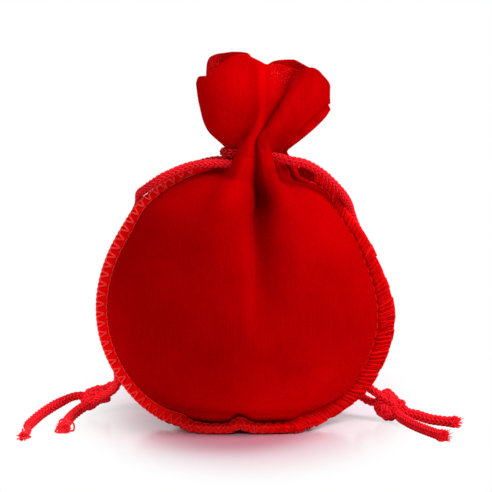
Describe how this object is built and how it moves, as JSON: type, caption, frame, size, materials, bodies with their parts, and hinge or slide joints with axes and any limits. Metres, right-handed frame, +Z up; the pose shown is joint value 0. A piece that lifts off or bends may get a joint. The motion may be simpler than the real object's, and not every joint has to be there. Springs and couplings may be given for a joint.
{
  "type": "drawstring pouch",
  "caption": "Small round-bottomed velvet pouch drawn shut by braided cords below a flared ruffle, with an overlocked edge outside its side seam and knotted cord ends.",
  "frame": {"origin": "on the flat patch of the back panel that the pouch stands on, midway between the side seams", "axes": "+Z up through the gathered neck, -Y out of the front panel, +X to the right as seen from the front"},
  "size_m": [0.106, 0.0388, 0.0918],
  "materials": {
    "front_velvet": "matte pile",
    "back_velvet": "matte pile",
    "overlock_thread": "thread",
    "cord_braid": "soft sheen"
  },
  "bodies": {
    "root": {"front_panel": "front_velvet", "back_panel": "back_velvet", "edge_overlock": "overlock_thread", "left_drawcord": "cord_braid", "left_knot": "cord_braid", "left_tail_long": "cord_braid", "left_tail_short": "cord_braid", "right_drawcord": "cord_braid", "right_knot": "cord_braid", "right_tail_long": "cord_braid", "right_tail_short": "cord_braid"}
  },
  "joints": []
}
